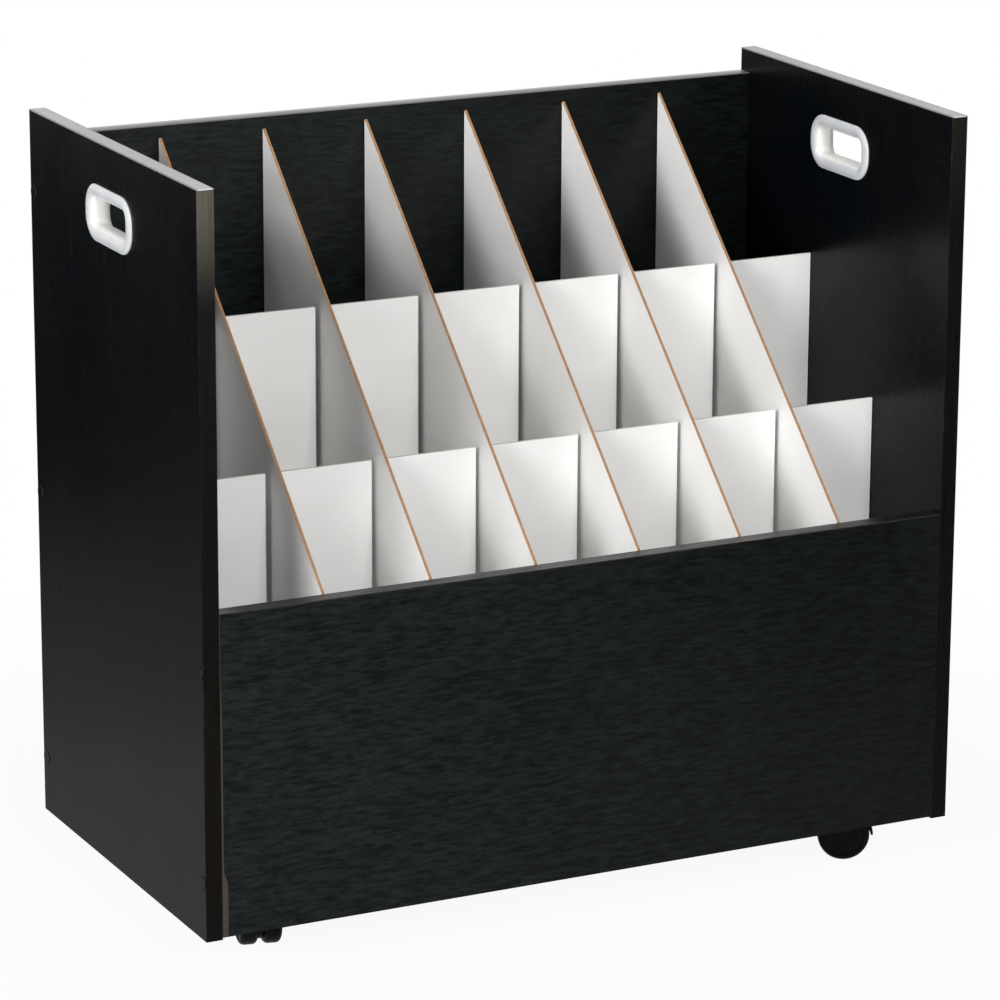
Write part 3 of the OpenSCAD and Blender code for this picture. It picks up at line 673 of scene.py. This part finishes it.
BEECH_GRAIN = (60.0, 1500.0, 1500.0)
BEECH_LIGHT = ((0.48, 0.29, 0.145, 1), (0.66, 0.45, 0.26, 1))
BEECH_FLECK, FLECK_SHARE = (0.27, 0.14, 0.065, 1), 0.6
BEECH_RELIEF = 0.00005
beech, tree, shader, coordinates = new_material("beech_wood", {"IOR": 1.45})
where = coordinates["Object"]
grain = place(tree, wood_grain, Vector=where, Stretch=BEECH_GRAIN)
marks = place(tree, handling_marks, Vector=where, Low=0.62, High=0.78, Scale=30.0)
wood = mix(tree, grain["Streaks"], *BEECH_LIGHT)
wood = mix(tree, product(tree, grain["Pores"], FLECK_SHARE), wood, BEECH_FLECK)
finish(tree, shader, wood, marks["Roughness"], grain["Streaks"], BEECH_RELIEF)
dress(("bottom_dowels",), beech)


# Casters
# Twin-wheel casters: a zinc-plated plate with a riveted swivel pin, a black nylon hood
# with a web between the wheels, a steel axle, and two solid nylon wheels snapped on it.

CORNERS = ("front_left", "front_right", "rear_left", "rear_right")
PLATE_ROUNDING, HOOD_ROUNDING, HEAD_ROUNDING = 0.0002, 0.0004, 0.0003
NYLON_GLOSS = 0.10
HOOD_TONES = ((0.0014, 0.0014, 0.0016, 1), (0.0032, 0.0032, 0.0035, 1))
HOOD_WORN = (0.012, 0.012, 0.012, 1)
HOOD_SMOOTH, HOOD_RELIEF = (0.38, 0.52), 0.00002
hood_nylon, *_ = plastic_material(
    "hood_nylon", *HOOD_TONES, HOOD_SMOOTH, HOOD_RELIEF, HOOD_WORN, NYLON_GLOSS)
AXLE_TONES, AXLE_SMOOTH = ((0.55, 0.55, 0.56, 1), (0.70, 0.70, 0.70, 1)), (0.18, 0.30)
AXLE_SCRATCHES = (900.0, 900.0, 900.0)
axle_steel = steel_material("axle_steel", *AXLE_TONES, AXLE_SMOOTH, AXLE_SCRATCHES)
for corner in CORNERS:
    dress((f"{corner}_plate", f"{corner}_pin"), zinc, PLATE_ROUNDING)
    dress((f"{corner}_hood",), hood_nylon, HOOD_ROUNDING)
    dress((f"{corner}_axle",), axle_steel)

TREAD_TONES = ((0.0012, 0.0012, 0.0013, 1), (0.0030, 0.0030, 0.0031, 1))
TREAD_WORN = (0.014, 0.013, 0.012, 1)
TREAD_SMOOTH, TREAD_RELIEF = (0.32, 0.46), 0.000015
wheel_nylon, *_ = plastic_material(
    "wheel_nylon", *TREAD_TONES, TREAD_SMOOTH, TREAD_RELIEF, TREAD_WORN, NYLON_GLOSS)
for corner in CORNERS:
    dress((f"{corner}_wheel_1", f"{corner}_wheel_2"), wheel_nylon)

dress(("caster_screws",), zinc, HEAD_ROUNDING)


# Studio
# A camera where the photograph was taken from, a pale floor with soft lamps over it,
# and a dim card on the floor that only reflections see, which keeps the laminate dark.

CAMERA_PLACE = Vector((-1.88517, -3.78111, 1.55885))
CAMERA_TURN = math.radians(26.549)
CAMERA_DIP = math.radians(15.801)
CAMERA_ROLL = math.radians(0.267)
LENS_MM = 167.85
SENSOR_MM = 36.0
CLIP_END = 60.0
ahead = Vector((
    math.sin(CAMERA_TURN) * math.cos(CAMERA_DIP),
    math.cos(CAMERA_TURN) * math.cos(CAMERA_DIP),
    -math.sin(CAMERA_DIP)))
level = Vector((math.cos(CAMERA_TURN), -math.sin(CAMERA_TURN), 0.0))
upward = level.cross(ahead)
right = math.cos(CAMERA_ROLL) * level + math.sin(CAMERA_ROLL) * upward
top = right.cross(ahead)
camera = bpy.data.objects.new("camera", bpy.data.cameras.new("camera"))
bpy.context.scene.collection.objects.link(camera)
camera.matrix_world = Matrix.Translation(CAMERA_PLACE) @ Matrix((right, top, -ahead)).transposed().to_4x4()
camera.data.lens = LENS_MM
camera.data.sensor_width = SENSOR_MM
camera.data.clip_end = CLIP_END
bpy.context.scene.camera = camera


def flat_sheet(name, low, high, height):
    """A flat rectangle over the floor."""
    made = bmesh.new()
    corners = ((low[0], low[1]), (high[0], low[1]), (high[0], high[1]), (low[0], high[1]))
    made.faces.new([made.verts.new((x, y, height)) for x, y in corners])
    sheet = mesh_object(name, made, SHARP_CORNER)
    return sheet


def background_rays(tree):
    """1 for rays that show the white background: seen, mirrored or looked through."""
    rays = tree.nodes.new("ShaderNodeLightPath").outputs
    seen = maths(tree, "MAXIMUM", rays["Is Camera Ray"], rays["Is Glossy Ray"])
    return maths(tree, "MAXIMUM", seen, rays["Is Transmission Ray"])


def from_middle(tree):
    """Distance from the middle of the floor."""
    where = tree.nodes.new("ShaderNodeTexCoord").outputs["Object"]
    return add(tree, "ShaderNodeVectorMath", {0: where}, operation="LENGTH").outputs["Value"]


FLOOR_HALF = 14.0
FLOOR_TONE = (0.88, 0.88, 0.88, 1)
WHITE = (1, 1, 1, 1)
WHITE_NEAR, WHITE_FAR = 0.93, 1.0
SHADOW_FROM, SHADOW_TO = 0.45, 1.1
floor = flat_sheet("floor", (-FLOOR_HALF, -FLOOR_HALF), (FLOOR_HALF, FLOOR_HALF), 0.0)
floor_paper = bpy.data.materials.new("floor_paper")
floor_paper.use_nodes = True
tree = floor_paper.node_tree
tree.nodes.clear()
paper = add(tree, "ShaderNodeBsdfDiffuse", {"Color": FLOOR_TONE})
glow = add(tree, "ShaderNodeEmission", {"Color": WHITE, "Strength": 1.0})
whiten = between(tree, from_middle(tree), SHADOW_FROM, SHADOW_TO, WHITE_NEAR, WHITE_FAR)
blended = add(tree, "ShaderNodeMixShader", {
    0: product(tree, whiten, background_rays(tree)), 1: paper.outputs[0], 2: glow.outputs[0]})
add(tree, "ShaderNodeOutputMaterial", {"Surface": blended.outputs[0]})
floor.data.materials.append(floor_paper)

# The card is grey by distance from its middle, with a white part in front on the left
CARD_LOW, CARD_HIGH = (-4.5, -4.2), (4.5, 4.8)
CARD_HEIGHT = 0.003
CARD_MIDDLE = (-0.3, -0.3, 0.0)
CARD_TONES = (
    (0.35, 0.47), (0.75, 0.41), (0.95, 0.285), (1.30, 0.20), (1.60, 0.13), (1.75, 0.06), (1.95, 0.015))
WHITE_FROM_Y, WHITE_TO_Y = 1.80, 2.32
WHITE_TO_X, WHITE_FROM_X = 0.85, 1.50
card = flat_sheet("dim_card", CARD_LOW, CARD_HIGH, CARD_HEIGHT)
card.visible_camera = False
card.visible_diffuse = False
card.visible_transmission = False
card.visible_shadow = False
card_paper = bpy.data.materials.new("card_paper")
card_paper.use_nodes = True
tree = card_paper.node_tree
tree.nodes.clear()
where = tree.nodes.new("ShaderNodeTexCoord").outputs["Object"]
from_card = add(tree, "ShaderNodeVectorMath", {0: where, 1: CARD_MIDDLE}, operation="DISTANCE")
reach = CARD_TONES[-1][0]
forwards = along(tree, where, (0, -1, 0))
white_part = product(
    tree, between(tree, forwards, WHITE_FROM_Y, WHITE_TO_Y),
    between(tree, along(tree, where, X), WHITE_TO_X, WHITE_FROM_X, 1.0, 0.0))
ramp = add(tree, "ShaderNodeValToRGB", {"Fac": maths(tree, "DIVIDE", from_card.outputs["Value"], reach)})
for stop, (distance, tone) in enumerate(CARD_TONES):
    if stop > 1:
        ramp.color_ramp.elements.new(distance / reach)
    element = ramp.color_ramp.elements[stop]
    element.position = distance / reach
    element.color = (tone, tone, tone, 1)

# Only the rear faces mirror the corner behind the cabinet, so it is paler
REAR_TONE = (0.40, 0.40, 0.40, 1)
REAR_FROM, REAR_TO = 0.10, 0.45
rear_part = product(tree, *(
    between(tree, along(tree, where, axis), REAR_FROM, REAR_TO) for axis in (X, Y)))
card_tone = mix(tree, rear_part, ramp.outputs["Color"], REAR_TONE)
card_tone = mix(tree, white_part, card_tone, WHITE)
dim = add(tree, "ShaderNodeEmission", {"Color": card_tone, "Strength": 1.0})
add(tree, "ShaderNodeOutputMaterial", {"Surface": dim.outputs[0]})
card.data.materials.append(card_paper)

# Each lamp's place, width in metres and power in watts, and whether it lights matt faces
AIM = Vector((0.0, 0.0, 0.40))
LAMPS = {
    "left": ((-6.9, -3.0, 3.2), 3.6, 570.0, True),
    "low_front": ((1.30, -3.70, 1.97), 2.4, 50.0, False),
    "high_front": ((-0.4, -6.95, 4.0), 2.8, 380.0, True),
}
for name, (spot, side, watts, matt) in LAMPS.items():
    lamp = bpy.data.lights.new(name, "AREA")
    lamp.shape = "SQUARE"
    lamp.size = side
    lamp.energy = watts
    holder = bpy.data.objects.new(name, lamp)
    holder.location = spot
    holder.rotation_mode = "QUATERNION"
    holder.rotation_quaternion = (AIM - Vector(spot)).to_track_quat("-Z", "Y")
    holder.visible_diffuse = matt
    bpy.context.scene.collection.objects.link(holder)

ROOM_LIGHT = 0.09
world = bpy.data.worlds.new("studio")
world.use_nodes = True
tree = world.node_tree
tree.nodes.clear()
room = add(tree, "ShaderNodeBackground", {"Color": WHITE, "Strength": ROOM_LIGHT})
backdrop = add(tree, "ShaderNodeBackground", {"Color": WHITE, "Strength": 1.0})
blended = add(tree, "ShaderNodeMixShader", {
    0: background_rays(tree), 1: room.outputs[0], 2: backdrop.outputs[0]})
add(tree, "ShaderNodeOutputWorld", {"Surface": blended.outputs[0]})
bpy.context.scene.world = world
bpy.context.scene.view_settings.view_transform = "Standard"
